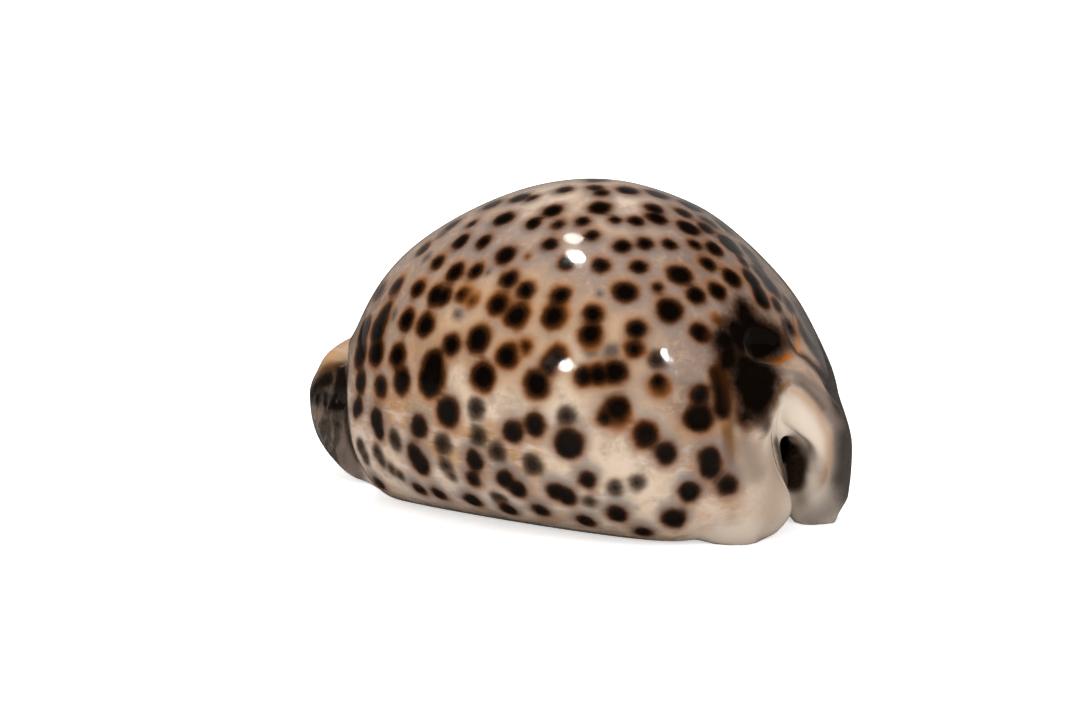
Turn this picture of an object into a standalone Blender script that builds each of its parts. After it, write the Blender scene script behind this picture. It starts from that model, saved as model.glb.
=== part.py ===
"""A tiger cowrie shell: one closed, hollow, glossy body resting on its base.

Metres, +Z up. +X is the posterior end (canal and spire pit), -X the anterior beak, +Y the outer
lip and -Y the columellar side. The origin is at the bottom, under the middle of the box.
"""
from math import pi

import bmesh
import bpy
import numpy as np

MM = 0.001

# Driving dimensions, in millimetres.
HEIGHT = 50.3
WIDTH = 61.0
CROWN_X = 4.2           # the dome's highest point lies towards the posterior end
DOME_POSTERIOR = 36.9   # where the dome itself ends, before the lips
DOME_ANTERIOR = -35.8
LIP_POSTERIOR = 39.2    # where the lips end, before the push that draws them out
LIP_ANTERIOR = -38.5
POSTERIOR_PUSH = 2.4
ANTERIOR_PUSH = 5.8
SIDE_Z = 13.5           # height of the widest line: sides, posterior end, anterior end
POSTERIOR_Z = 23.5
ANTERIOR_Z = 20.0
COLLAR_Z = 21.3         # top of the posterior canal
BEAK_Z = 18.5           # top of the anterior beak
BEAK_CANAL_Z = 8.5      # top of the anterior canal
WALL = 2.6              # wall thickness at the crown
SIDE_WALL = 3.0
FULLNESS = 0.83         # how square the outline is in plan
EGG = 0.105             # how much wider the outline is towards the posterior end
SLIT = 2.9              # half the aperture's width
SLIT_BOW = (1.5, -3.5, -1.5)    # sideways bend of the aperture: middle, posterior, anterior

# Resolution of the faceted solid.
SEGMENTS = 72
ROWS = 60

# Angles in degrees at which the dome's rings are taken, from the crown outwards.
OUTER_CAP = (0, 13, 27, 41, 55, 68, 80)
INNER_CAP = (64, 47, 30, 15, 0)

# The ring by which a sculpting stroke has faded out, counted from the crown, and over how many.
FADED_BY = 15.5
FADE = 2.5

# Strokes that shape the surface like a sculptor's brush: a path, a reach, either a drag or a depth
# along the surface's normal, in millimetres, and the ring by which the stroke has faded out.
STROKES = (
    # outer posterior lobe
    {"path": [(41, 9, 4), (42, 9, 12)], "reach": 9, "drag": (2.6, 0.2, -1.0)},
    {"path": [(40, 5, 1), (40, 8, 1)], "reach": 6, "drag": (0.2, -0.6, -4.0)},
    {"path": [(42, 0.5, 19), (42.5, 2.5, 17), (43, 3.5, 12)],
     "reach": 6, "drag": (1.0, 2.4, 0.4)},
    # mouth of the canal, inside the outer lip
    {"path": [(38, 1.5, 8.5), (37, 1, 11.5)], "reach": 6, "drag": (1.9, 3.4, 0)},
    # inner posterior lobe
    {"path": [(38, -9, 0), (38, -8, 7)], "reach": 10, "drag": (4.6, 1.0, 0), "until": 15.6},
    {"path": [(38, -9, 0), (38, -8, 7)], "reach": 10, "drag": (0, 0, -4.6), "until": 14},
    {"path": [(41, -5.5, 2), (40.5, -5.5, 7)], "reach": 5.5, "drag": (1.6, 0.8, 0), "until": 15.6},
    {"path": [(41, -5.5, 2), (40.5, -5.5, 7)], "reach": 5.5, "drag": (0, 0, -1.8), "until": 14},
    # rounded toes of both lobes
    {"path": [(44, 11, -1), (43, 16, -1)], "reach": 5, "drag": (-1.5, 0, 2.4)},
    {"path": [(42.5, -7.5, 0)], "reach": 6, "drag": (-0.6, 0.6, 1.4), "until": 14},
    # top of the canal
    {"path": [(41.5, 0, 20), (41, -1, 23)], "reach": 8, "drag": (-1.2, -1.6, 0.2)},
    # beak
    {"path": [(-41, -6, 4), (-43, -4, 11)], "reach": 9, "drag": (-3.6, 0, 0.4)},
    {"path": [(-41, 6, 5), (-43, 4, 12)], "reach": 9, "drag": (-2.6, 0, 0.5)},
    {"path": [(-37, -10, 2), (-34, -12, 1)], "reach": 6, "drag": (0.4, -0.3, -1.2)},
    {"path": [(-35.5, -10, 2), (-32, -12, 1)], "reach": 4.5, "drag": (0.4, -0.7, -1.0)},
    {"path": [(-39, -3, 23), (-39.5, -5, 22)], "reach": 5, "drag": (0.6, 0.2, -1.9)},
    {"path": [(-42.5, -4.5, 18)], "reach": 4, "drag": (-0.5, 0, 0)},
    # flank beside the beak, and the grooves between the two
    {"path": [(-31, -15.5, 0), (-33, -14.5, 9), (-34, -12.5, 13)],
     "reach": 11, "drag": (2.8, 2.2, 0.6)},
    {"path": [(-34, -15, 1), (-36, -14, 8), (-38, -11.5, 15), (-38.5, -9, 18)],
     "reach": 7.5, "depth": -2.4},
    {"path": [(-36.5, 13, 2), (-38, 12, 8), (-39, 10, 14), (-39.5, 7, 18)],
     "reach": 6, "depth": -2.6},
    # spire pit, and the line that runs up from it
    {"path": [(36.5, -5.5, 28.5), (37.3, -3.5, 28.2), (38, -1.5, 27.6)],
     "reach": 4.0, "depth": -1.9},
    {"path": [(36.5, 4.2, 30.5), (38, 2.4, 25.6)], "reach": 1.5, "depth": -0.4},
    # shoulders of the dome
    {"path": [(28, 12, 38)], "reach": 15, "drag": (-0.9, -0.5, -0.5), "until": 99},
    {"path": [(-20, 3, 42.5)], "reach": 16, "drag": (0.3, -0.1, -0.5), "until": 99},
)


def ring(post, ant, half, z, full=FULLNESS, curl=(4, 4), slit=0.0, egg=0.0, push=0.0, lean=0.0):
    """One closed control ring round the shell.

    post and ant are its two ends along X, half its half-width, z its height at the sides and at
    the posterior and anterior ends, curl how tightly it rises there, and lean how far its rise at
    the posterior end is set over in Y.
    """
    return {"post": post, "ant": ant, "half": half, "z": z, "full": full, "curl": curl,
            "slit": slit, "egg": egg, "push": push, "lean": lean}


def cap_rings(angles, top, half_width, post, ant, bend):
    """Rings of a dome, from its crown outwards or back up to it."""
    rings = []
    for angle in np.radians(angles):
        s, c = np.sin(angle), np.cos(angle)
        heights = [base + (top - base) * c for base in (SIDE_Z, POSTERIOR_Z, ANTERIOR_Z)]
        rings.append(ring(
            post=CROWN_X + (post - CROWN_X) * s ** bend[0],
            ant=CROWN_X + (ant - CROWN_X) * s ** bend[1],
            half=half_width * s ** 1.05,
            z=heights,
            full=FULLNESS * s + 0.05,
            curl=(2, 2),
            egg=EGG * s,
        ))
    return rings


def margin_rings():
    """Rings that turn the dome's sides under, on to the base."""
    post, ant, half = LIP_POSTERIOR, LIP_ANTERIOR, WIDTH / 2
    return [
        ring(post - 0.5, ant + 0.5, half, (SIDE_Z - 1, COLLAR_Z + 4.0, BEAK_Z + 2.4),
             FULLNESS, (6, 8), 0, EGG, 0.8, -1),
        ring(post + 0.6, ant - 0.6, half - 1.5, (6.4, COLLAR_Z + 3.4, BEAK_Z + 0.5),
             FULLNESS + 0.2, (14, 12), 0, EGG, 1, -2.5),
        ring(post + 1.0, ant - 0.8, half - 7.6, (0.7, COLLAR_Z + 2.7, BEAK_Z - 3.5),
             FULLNESS + 0.5, (32, 20), 0, EGG, 1, -3.5),
        ring(post + 1.0, ant - 0.4, half - 15, (-0.5, COLLAR_Z + 2, BEAK_CANAL_Z + 1),
             2.0, (38, 26), 0.5, 0.6 * EGG, 1, -3.5),
    ]


def lip_rings():
    """Rings that run from the base over the lips and up the aperture's walls."""
    post, ant = LIP_POSTERIOR, LIP_ANTERIOR
    return [
        ring(post + 0.4, ant + 0.6, 7.8, (0.4, COLLAR_Z + 1.3, BEAK_CANAL_Z),
             3.0, (30, 36), 1, 0, 1, -3),
        ring(post - 1.2, ant + 2.0, SLIT + 1.5, (1.5, COLLAR_Z + 0.4, BEAK_CANAL_Z - 1),
             3.5, (32, 36), 1, 0, 1, -2.5),
        ring(post - 3.5, ant + 4.5, SLIT, (3.6, COLLAR_Z - 3, BEAK_CANAL_Z - 1),
             4.0, (50, 36), 1, 0, 1),
        ring(post - 3.6, ant + 7.5, SLIT + 1.6, (5.2, COLLAR_Z - 8, BEAK_CANAL_Z + 1),
             4.0, (40, 30), 0.1, 0, 0.6),
    ]


def floor_rings():
    """Rings of the hollow's floor and of its side walls."""
    post, ant, half = LIP_POSTERIOR, LIP_ANTERIOR, WIDTH / 2
    return [
        ring(post - 3.0, ant + 8.0, 9.0, (6.0, COLLAR_Z - 6.5, BEAK_Z - 1), 2.5, (20, 20), 0.8),
        ring(post - 3.9, ant + 7.0, half - 11, (6.8, COLLAR_Z - 4, BEAK_Z - 1), 1.5, (8, 8), 0.4, EGG),
        ring(post - 4.5, ant + 5.5, half - SIDE_WALL, (15, 20, 18), egg=EGG),
    ]


def control_rings():
    """The shell's section as rings: outer dome, margin, lips, slit, floor and inner dome."""
    outer = cap_rings(OUTER_CAP, HEIGHT, WIDTH / 2, DOME_POSTERIOR, DOME_ANTERIOR, (1.18, 1.13))
    inner = cap_rings(INNER_CAP, HEIGHT - WALL, WIDTH / 2 - 2.4,
                      DOME_POSTERIOR - 2.6, DOME_ANTERIOR + 3.4, (1, 1))
    return outer + margin_rings() + lip_rings() + floor_rings() + inner


def ring_point(spec, angle):
    """Point on a control ring at an angle about +Z, 0 at the posterior end, in millimetres."""
    c, s = np.cos(angle), np.sin(angle)
    post, ant = (1 + c) / 2, (1 - c) / 2
    x = (spec["post"] + spec["ant"]) / 2 + (spec["post"] - spec["ant"]) / 2 * c
    x = x + spec["push"] * (POSTERIOR_PUSH * post ** 6 - ANTERIOR_PUSH * ant ** 26)
    middle, end_post, end_ant = SLIT_BOW
    bow = middle + end_post * np.clip(c, 0, 1) ** 3 + end_ant * np.clip(-c, 0, 1) ** 3
    y = spec["half"] * np.tanh(spec["full"] * s) / np.tanh(spec["full"]) * (1 + spec["egg"] * c)
    side, z_post, z_ant = spec["z"]
    tilt = spec["lean"] * np.tanh(spec["full"]) / (max(spec["half"], 1) * spec["full"])
    rise = (1 + np.cos(angle - tilt)) / 2
    z = side + (z_post - side) * rise ** spec["curl"][0] + (z_ant - side) * ant ** spec["curl"][1]
    return np.stack([x, y + spec["slit"] * bow, z], axis=-1)


def blend_rings(rings, angles, rows):
    """Cubic B-spline through the rings: a grid of points, rows by angles."""
    control = [ring_point(rings[1], angles + pi)]
    control += [ring_point(spec, angles) for spec in rings]
    control += [ring_point(rings[-2], angles + pi)]
    control = np.stack(control)
    first = np.clip(np.floor(rows).astype(int), 0, len(rings) - 2)
    f = (rows - first)[:, None, None]
    weights = ((1 - f) ** 3, 3 * f ** 3 - 6 * f ** 2 + 4, -3 * f ** 3 + 3 * f ** 2 + 3 * f + 1, f ** 3)
    return sum(weight / 6 * control[first + k] for k, weight in enumerate(weights))


def distance_to_path(points, path):
    """Distance of each point to a path, or to its one point."""
    path = np.array(path, float)
    nearest = np.linalg.norm(points - path[0], axis=-1)
    for start, end in zip(path[:-1], path[1:]):
        along = end - start
        t = np.clip((points - start) @ along / (along @ along), 0, 1)
        nearest = np.minimum(nearest, np.linalg.norm(points - start - t[..., None] * along, axis=-1))
    return nearest


def normals(points):
    across = np.roll(points, -1, axis=1) - np.roll(points, 1, axis=1)
    normal = np.cross(np.gradient(points, axis=0), across)
    return normal / (np.linalg.norm(normal, axis=-1, keepdims=True) + 1e-9)


def sculpt(points, rows):
    """Runs the strokes over the outside and the lips, and fades them out inside."""
    for stroke in STROKES:
        outside = np.clip((stroke.get("until", FADED_BY) - rows) / FADE, 0, 1)
        outside = (outside * outside * (3 - 2 * outside))[:, None, None]
        near = np.clip(1 - (distance_to_path(points, stroke["path"]) / stroke["reach"]) ** 2, 0, 1)
        if "drag" in stroke:
            move = np.array(stroke["drag"], float)
        else:
            move = normals(points) * stroke["depth"]
        points = points + outside * near[..., None] ** 2 * move
    return points


def shell_points():
    """The grid of surface points in millimetres, on its base and centred over the origin."""
    rings = control_rings()
    rows = np.linspace(0, len(rings) - 1, ROWS + 1)
    angles = np.arange(SEGMENTS) * 2 * pi / SEGMENTS
    points = sculpt(blend_rings(rings, angles, rows), rows)
    points[..., 2] = np.maximum(points[..., 2], 0)
    middle = (points.reshape(-1, 3).min(axis=0) + points.reshape(-1, 3).max(axis=0)) / 2
    return points - [middle[0], middle[1], 0]


def glossy_shell_material():
    material = bpy.data.materials.new("glossy shell")
    material.use_nodes = True
    surface = material.node_tree.nodes["Principled BSDF"]
    surface.inputs["Base Color"].default_value = (0.40, 0.29, 0.22, 1)
    surface.inputs["Roughness"].default_value = 0.18
    surface.inputs["Metallic"].default_value = 0.0
    return material


def build_shell(collection):
    """Starts as a sphere: its parallels become the rows from crown to inner crown."""
    bm = bmesh.new()
    bmesh.ops.create_uvsphere(bm, u_segments=SEGMENTS, v_segments=ROWS, radius=1)
    points = shell_points() * MM
    for vert in bm.verts:
        row = round(np.arccos(np.clip(vert.co.z, -1, 1)) / pi * ROWS)
        column = round(np.arctan2(vert.co.y, vert.co.x) / (2 * pi) * SEGMENTS) % SEGMENTS
        vert.co = points[row, column]
    bmesh.ops.recalc_face_normals(bm, faces=bm.faces)
    mesh = bpy.data.meshes.new("shell")
    bm.to_mesh(mesh)
    bm.free()
    mesh.shade_smooth()
    mesh.materials.append(glossy_shell_material())
    shell = bpy.data.objects.new("shell", mesh)
    collection.objects.link(shell)
    return shell


def main():
    for obj in list(bpy.data.objects):
        bpy.data.objects.remove(obj)
    collection = bpy.data.collections.new("cowrie shell")
    bpy.context.scene.collection.children.link(collection)
    build_shell(collection)


main()
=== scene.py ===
from math import cos, pi, radians, sin, tau

import bmesh
import bpy
import numpy as np
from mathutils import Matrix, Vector


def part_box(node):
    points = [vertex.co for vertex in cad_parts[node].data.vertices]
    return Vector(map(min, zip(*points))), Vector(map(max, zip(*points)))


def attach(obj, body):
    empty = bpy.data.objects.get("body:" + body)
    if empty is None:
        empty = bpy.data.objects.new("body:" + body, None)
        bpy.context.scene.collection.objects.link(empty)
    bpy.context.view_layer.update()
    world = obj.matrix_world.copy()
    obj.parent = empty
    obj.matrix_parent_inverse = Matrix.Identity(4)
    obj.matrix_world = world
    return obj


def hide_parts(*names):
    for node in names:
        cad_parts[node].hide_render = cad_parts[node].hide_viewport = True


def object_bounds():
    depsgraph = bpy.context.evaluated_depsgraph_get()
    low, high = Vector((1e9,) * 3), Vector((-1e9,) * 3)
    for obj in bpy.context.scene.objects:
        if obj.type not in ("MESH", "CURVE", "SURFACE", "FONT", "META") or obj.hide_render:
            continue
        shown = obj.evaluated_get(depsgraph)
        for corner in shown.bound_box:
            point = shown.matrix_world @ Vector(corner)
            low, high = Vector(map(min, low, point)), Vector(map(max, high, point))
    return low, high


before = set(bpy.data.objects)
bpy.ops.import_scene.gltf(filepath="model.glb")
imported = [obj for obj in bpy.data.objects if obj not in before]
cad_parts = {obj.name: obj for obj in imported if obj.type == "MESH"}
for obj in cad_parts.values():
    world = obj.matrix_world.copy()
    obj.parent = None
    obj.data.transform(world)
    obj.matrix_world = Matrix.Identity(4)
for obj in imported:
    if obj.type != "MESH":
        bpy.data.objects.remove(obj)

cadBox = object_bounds()
mm = 0.001  # the shell is worked out in millimetres

print("frame loaded, CAD box", [round(v / mm, 1) for v in cadBox[1] - cadBox[0]], "mm")

shellForm = {
    "columns": 560,           # points round the shell
    "outsideRings": 14,       # control rings from the crown to the aperture
    "outsideRows": 128,       # mesh rows on that stretch
    "insideRows": 47,         # mesh rows from the aperture up to the inner crown
    "height": 50.3,
    "width": 61.0,
    "crownX": 4.2,            # the dome's highest point
    "domePosterior": 36.9,    # ends of the dome, before the lips
    "domeAnterior": -35.8,
    "domeAngles": (0, 13, 27, 41, 55, 68, 80),   # where its rings lie, from the crown down
    "domeBend": (1.18, 1.13),     # how full its posterior and anterior ends are
    "hollowAngles": (64, 47, 30, 15, 0),
    "lipPosterior": 39.2,
    "lipAnterior": -38.5,
    "sideZ": 13.5,            # height of the widest line: sides, posterior end, anterior end
    "posteriorZ": 23.5,
    "anteriorZ": 20.0,
    "collarZ": 21.3,          # top of the posterior canal
    "beakZ": 18.5,            # top of the anterior beak
    "beakCanalZ": 8.5,
    "wall": 2.6,
    "sideWall": 3.0,
    "fullness": 0.83,         # how square the outline is in plan
    "shoulder": 1.05,         # how soon the dome widens below its crown
    "egg": 0.105,             # how much wider it is towards the posterior end
    "slit": 2.9,              # half the aperture's width
    "slitBow": (1.5, 3.5, 1.5),   # its bow in the middle, and what the two ends take back
    "postPush": (2.4, 6),     # how far the posterior end is pushed out, and how narrowly
    "antPush": (5.8, 26),
}

# Stretches of the surface, in control rings from the crown: the margin starts at 7, the lips at 11
# and the hollow at 15.
ringSpans = {
    "outside": 10.0,          # what can be seen from outside ends here
    "marks": 10.6,            # and no mark is drawn past this
    "base": (8.7, 10.0),
    "lips": (10.6, 11.9, 13.4, 14.6),
    "sheltered": (12.4, 13.6),
    # the inside span is painted dark, as the shade of the hollow
    "inside": (13.4, 14.8),
    "paint": (15.0, 16.0),
    "strokes": (13.0, 15.5),
}

# Sculpting strokes on the two ends: a path, a reach, and a drag or a depth along the normal.
# Until is the ring where a stroke fades out, if it isn't the usual one.
endStrokes = [
    # outer posterior lobe
    dict(path=[(41, 9, 4), (42, 9, 12)], reach=9, drag=(2.6, 0.2, -1.0)),
    dict(path=[(40, 5, 1), (40, 8, 1)], reach=6, drag=(0.2, -0.6, -4.0)),
    dict(path=[(42, 0.5, 19), (42.5, 2.5, 17), (43, 3.5, 12)], reach=6, drag=(1.0, 2.4, 0.4)),
    dict(path=[(38, 1.5, 8.5), (37, 1, 11.5)], reach=6, drag=(1.9, 3.4, 0)),
    # inner posterior lobe
    dict(path=[(38, -9, 0), (38, -8, 7)], reach=10, drag=(4.6, 1.0, 0), until=15.6),
    dict(path=[(38, -9, 0), (38, -8, 7)], reach=10, drag=(0, 0, -4.6), until=14),
    dict(path=[(41, -5.5, 2), (40.5, -5.5, 7)], reach=5.5, drag=(1.6, 0.8, 0), until=15.6),
    dict(path=[(41, -5.5, 2), (40.5, -5.5, 7)], reach=5.5, drag=(0, 0, -1.8), until=14),
    # rounded toes of both lobes
    dict(path=[(44, 11, -1), (43, 16, -1)], reach=5, drag=(-1.5, 0, 2.4)),
    dict(path=[(42.5, -7.5, 0)], reach=6, drag=(-0.6, 0.6, 1.4), until=14),
    # top of the canal
    dict(path=[(41.5, 0, 20), (41, -1, 23)], reach=8, drag=(-1.2, -1.6, 0.2)),
    # beak and the flanks beside it
    dict(path=[(-41, -6, 4), (-43, -4, 11)], reach=9, drag=(-3.6, 0, 0.4)),
    dict(path=[(-41, 6, 5), (-43, 4, 12)], reach=9, drag=(-2.6, 0, 0.5)),
    dict(path=[(-37, -10, 2), (-34, -12, 1)], reach=6, drag=(0.4, -0.3, -1.2)),
    dict(path=[(-35.5, -10, 2), (-32, -12, 1)], reach=4.5, drag=(0.4, -0.7, -1.0)),
    dict(path=[(-39, -3, 23), (-39.5, -5, 22)], reach=5, drag=(0.6, 0.2, -1.9)),
    dict(path=[(-42.5, -4.5, 18)], reach=4, drag=(-0.5, 0, 0)),
    dict(path=[(-31, -15.5, 0), (-33, -14.5, 9), (-34, -12.5, 13)], reach=11, drag=(2.8, 2.2, 0.6)),
    dict(path=[(-34, -15, 1), (-36, -14, 8), (-38, -11.5, 15), (-38.5, -9, 18)],
         reach=7.5, depth=-2.4),
    dict(path=[(-36.5, 13, 2), (-38, 12, 8), (-39, 10, 14), (-39.5, 7, 18)],
         reach=6, depth=-2.6),
    # spire pit, and the line that runs up from it
    dict(path=[(36.5, -5.5, 28.5), (37.3, -3.5, 28.2), (38, -1.5, 27.6)], reach=4.0, depth=-1.9),
    dict(path=[(36.5, 4.2, 30.5), (38, 2.4, 25.6)], reach=1.5, depth=-0.4),
    # shoulders of the dome
    dict(path=[(28, 12, 38)], reach=15, drag=(-0.9, -0.5, -0.5), until=99),
    dict(path=[(-20, 3, 42.5)], reach=16, drag=(0.3, -0.1, -0.5), until=99),
]

teeth = {
    "pitch": 3.0,             # from one tooth to the next along the slit
    "depth": 0.75,            # of the grooves between them
    "sharpness": 1.6,
    "slant": 0.12,
    "middle": -1.5,
    "ends": (30.0, 37.0),     # the teeth fade out at this distance from the middle
}


# A control ring: x of its two ends, half its width, its heights at the sides and both ends, how
# square it is, and how narrowly its ends rise. Slit bows it, push lengthens its ends and lean moves
# the posterior rise sideways.
def ring(post, ant, half, z, full=None, curl=(4, 4), slit=0.0, egg=0.0, push=0.0, lean=0.0):
    return dict(post=post, ant=ant, half=half, z=z, full=full or shellForm["fullness"],
                curl=curl, slit=slit, egg=egg, push=push, lean=lean)


def capRings(angles, top, halfWidth, post, ant, bend):
    f = shellForm
    rings = []
    for angle in np.radians(angles):
        s, c = np.sin(angle), np.cos(angle)
        heights = [base + (top - base) * c for base in (f["sideZ"], f["posteriorZ"], f["anteriorZ"])]
        rings.append(ring(f["crownX"] + (post - f["crownX"]) * s ** bend[0],
                          f["crownX"] + (ant - f["crownX"]) * s ** bend[1],
                          halfWidth * s ** f["shoulder"], heights, f["fullness"] * s + 0.05, (2, 2),
                          egg=f["egg"] * s))
    return rings


def controlRings():
    f = shellForm
    p, a, half = f["lipPosterior"], f["lipAnterior"], f["width"] / 2
    collar, beak, canal = f["collarZ"], f["beakZ"], f["beakCanalZ"]
    full, egg, slit = f["fullness"], f["egg"], f["slit"]
    outer = capRings(f["domeAngles"], f["height"], half, f["domePosterior"], f["domeAnterior"],
                     f["domeBend"])
    margin = [
        ring(p - 0.5, a + 0.5, half, (f["sideZ"] - 1, collar + 4.0, beak + 2.4), full, (6, 8),
             egg=egg, push=0.8, lean=-1),
        ring(p + 0.6, a - 0.6, half - 1.5, (6.4, collar + 3.4, beak + 0.5), full + 0.2, (14, 12),
             egg=egg, push=1, lean=-2.5),
        ring(p + 1.0, a - 0.8, half - 7.6, (0.7, collar + 2.7, beak - 3.5), full + 0.5, (32, 20),
             egg=egg, push=1, lean=-3.5),
        ring(p + 1.0, a - 0.4, half - 15, (-0.5, collar + 2, canal + 1), 2.0, (38, 26),
             slit=0.5, egg=0.6 * egg, push=1, lean=-3.5),
    ]
    lips = [
        ring(p + 0.4, a + 0.6, 7.8, (0.4, collar + 1.3, canal), 3.0, (30, 36),
             slit=1, push=1, lean=-3),
        ring(p - 1.2, a + 2.0, slit + 1.5, (1.5, collar + 0.4, canal - 1), 3.5, (32, 36),
             slit=1, push=1, lean=-2.5),
        ring(p - 3.5, a + 4.5, slit, (3.6, collar - 3, canal - 1), 4.0, (50, 36), slit=1, push=1),
        ring(p - 3.6, a + 7.5, slit + 1.6, (5.2, collar - 8, canal + 1), 4.0, (40, 30),
             slit=0.1, push=0.6),
    ]
    inside = [
        ring(p - 3.0, a + 8.0, 9.0, (6.0, collar - 6.5, beak - 1), 2.5, (20, 20), slit=0.8),
        ring(p - 3.9, a + 7.0, half - 11, (6.8, collar - 4, beak - 1), 1.5, (8, 8), slit=0.4, egg=egg),
        ring(p - 4.5, a + 5.5, half - f["sideWall"], (15, 20, 18), egg=egg),
    ]
    inner = capRings(f["hollowAngles"], f["height"] - f["wall"], half - 2.4,
                     f["domePosterior"] - 2.6, f["domeAnterior"] + 3.4, (1, 1))
    return outer + margin + lips + inside + inner


def ringPoint(spec, angle):
    c, s = np.cos(angle), np.sin(angle)
    post, ant = (1 + c) / 2, (1 - c) / 2
    x = (spec["post"] + spec["ant"]) / 2 + (spec["post"] - spec["ant"]) / 2 * c
    (postPush, postNarrow), (antPush, antNarrow) = shellForm["postPush"], shellForm["antPush"]
    x = x + spec["push"] * (postPush * post ** postNarrow - antPush * ant ** antNarrow)
    middle, postBow, antBow = shellForm["slitBow"]
    bow = middle - postBow * np.clip(c, 0, 1) ** 3 - antBow * np.clip(-c, 0, 1) ** 3
    y = spec["half"] * np.tanh(spec["full"] * s) / np.tanh(spec["full"]) * (1 + spec["egg"] * c)
    side, zPost, zAnt = spec["z"]
    tilt = spec["lean"] * np.tanh(spec["full"]) / (max(spec["half"], 1) * spec["full"])
    rise = (1 + np.cos(angle - tilt)) / 2
    z = side + (zPost - side) * rise ** spec["curl"][0] + (zAnt - side) * ant ** spec["curl"][1]
    return np.stack([x, y + spec["slit"] * bow, z], axis=-1)


def blendRings(rings, angles, rows):
    # cubic B-spline through the rings, one row of points for each value of rows
    control = [ringPoint(rings[1], angles + pi)]
    control += [ringPoint(spec, angles) for spec in rings]
    control += [ringPoint(rings[-2], angles + pi)]
    control = np.stack(control)
    first = np.clip(np.floor(rows).astype(int), 0, len(rings) - 2)
    f = (rows - first)[:, None, None]
    weights = ((1 - f) ** 3, 3 * f ** 3 - 6 * f ** 2 + 4, -3 * f ** 3 + 3 * f ** 2 + 3 * f + 1, f ** 3)
    return sum(weight / 6 * control[first + k] for k, weight in enumerate(weights))


def smoothStep(low, high, value):
    t = np.clip((value - low) / (high - low), 0, 1)
    return t * t * (3 - 2 * t)


def distanceToPath(points, path):
    nearest = np.full(points.shape[:-1], np.inf)
    ends = [np.array(p, float) for p in path]
    if len(ends) == 1:
        return np.linalg.norm(points - ends[0], axis=-1)
    for start, end in zip(ends[:-1], ends[1:]):
        along = end - start
        t = np.clip((points - start) @ along / (along @ along), 0, 1)
        nearest = np.minimum(nearest, np.linalg.norm(points - start - t[..., None] * along, axis=-1))
    return nearest


def gridNormals(points):
    across = np.roll(points, -1, axis=1) - np.roll(points, 1, axis=1)
    normal = np.cross(np.gradient(points, axis=0), across)
    return normal / (np.linalg.norm(normal, axis=-1, keepdims=True) + 1e-9)


def sculptEnds(points, rows):
    first, last = ringSpans["strokes"]
    for stroke in endStrokes:
        left = stroke.get("until", last) - rows
        outside = smoothStep(0, 1, left / (last - first))[:, None, None]
        near = np.clip(1 - (distanceToPath(points, stroke["path"]) / stroke["reach"]) ** 2, 0, 1)
        if "drag" in stroke:
            move = np.array(stroke["drag"], float)
        else:
            move = gridNormals(points) * stroke["depth"]
        points = points + outside * near[..., None] ** 2 * move
    return points


def cutTeeth(points, rows):
    # grooves across both lips, which leave a row of teeth on each side of the slit
    x = points[..., 0]
    along = x + teeth["slant"] * np.abs(points[..., 1])
    groove = (0.5 - 0.5 * np.cos(tau * along / teeth["pitch"])) ** teeth["sharpness"]
    lips = smoothStep(*ringSpans["lips"][:2], rows) * (1 - smoothStep(*ringSpans["lips"][2:], rows))
    ends = 1 - smoothStep(*teeth["ends"], np.abs(x - teeth["middle"]))
    depth = teeth["depth"] * groove * lips[:, None] * ends
    return points - gridNormals(points) * depth[..., None]


def shellGrid():
    rings = controlRings()
    turn, last = shellForm["outsideRings"], len(rings) - 1
    rows = np.concatenate([np.linspace(0, turn, shellForm["outsideRows"], endpoint=False),
                           np.linspace(turn, last, shellForm["insideRows"] + 1)])
    angles = np.arange(shellForm["columns"]) * tau / shellForm["columns"]
    points = sculptEnds(blendRings(rings, angles, rows), rows)
    points = cutTeeth(points, rows)
    points[..., 2] = np.maximum(points[..., 2], 0)
    return points, rows


def fitToBox(points, box):
    # the finished surface spans exactly the CAD node's box
    low, high = [np.array(corner) / mm for corner in box]
    least, most = points.reshape(-1, 3).min(0), points.reshape(-1, 3).max(0)
    return low + (points - least) * (high - low) / (most - least)


def sphereMesh(name, columns, rows, points):
    # a UV sphere whose parallels take the places worked out above
    bm = bmesh.new()
    bmesh.ops.create_uvsphere(bm, u_segments=columns, v_segments=rows, radius=1)
    mesh = bpy.data.meshes.new(name)
    bmesh.ops.recalc_face_normals(bm, faces=bm.faces)
    bm.to_mesh(mesh)
    bm.free()
    unit = np.zeros(len(mesh.vertices) * 3)
    mesh.vertices.foreach_get("co", unit)
    unit = unit.reshape(-1, 3)
    row = np.rint(np.arccos(np.clip(unit[:, 2], -1, 1)) / pi * rows).astype(int)
    column = np.rint(np.arctan2(unit[:, 1], unit[:, 0]) / tau * columns).astype(int) % columns
    mesh.vertices.foreach_set("co", (points[row, column] * mm).ravel())
    mesh.shade_smooth()
    mesh.update()
    return mesh, row, column


shellPoints, shellRows = shellGrid()
shellPoints = fitToBox(shellPoints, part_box("shell"))
shellNormals = gridNormals(shellPoints)
print("shell worked out:", shellPoints.shape[0], "rows of", shellPoints.shape[1])


# Marks are placed by compass: bearing round the dome (0 is the posterior end, -90 the columellar
# side), height angle above the compass point, and radius in millimetres.
compassPoint = np.array([3.86, 0.0, 14.0])

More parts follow.
